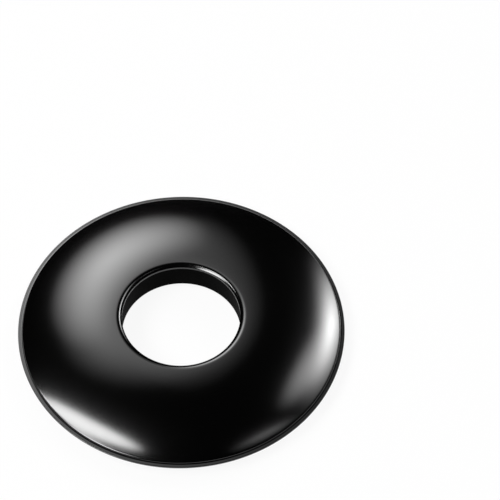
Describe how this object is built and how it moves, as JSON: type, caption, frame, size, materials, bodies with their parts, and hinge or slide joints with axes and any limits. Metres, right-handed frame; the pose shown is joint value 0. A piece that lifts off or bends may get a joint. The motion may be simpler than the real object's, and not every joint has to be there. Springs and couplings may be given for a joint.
{
  "type": "bonded sealing washer",
  "caption": "Domed metal washer with a rolled centre hole, a small step and a flat lip, and a dished rubber seal bonded under it that seals a screw hole.",
  "frame": {"origin": "centre of the bore in the plane of the seal's land, on which the washer stands", "axes": "+Z along the bore, from the seal to the dome; X and Y are free because the washer is round"},
  "size_m": [0.019, 0.019, 0.0023],
  "materials": {
    "cap_coat": "gloss black coat on thin steel sheet, bare metal on the cut hole edge and under the lip",
    "seal_rubber": "matte black moulded rubber"
  },
  "bodies": {
    "root": {"metal_cap": "cap_coat", "rubber_seal": "seal_rubber"}
  },
  "joints": []
}
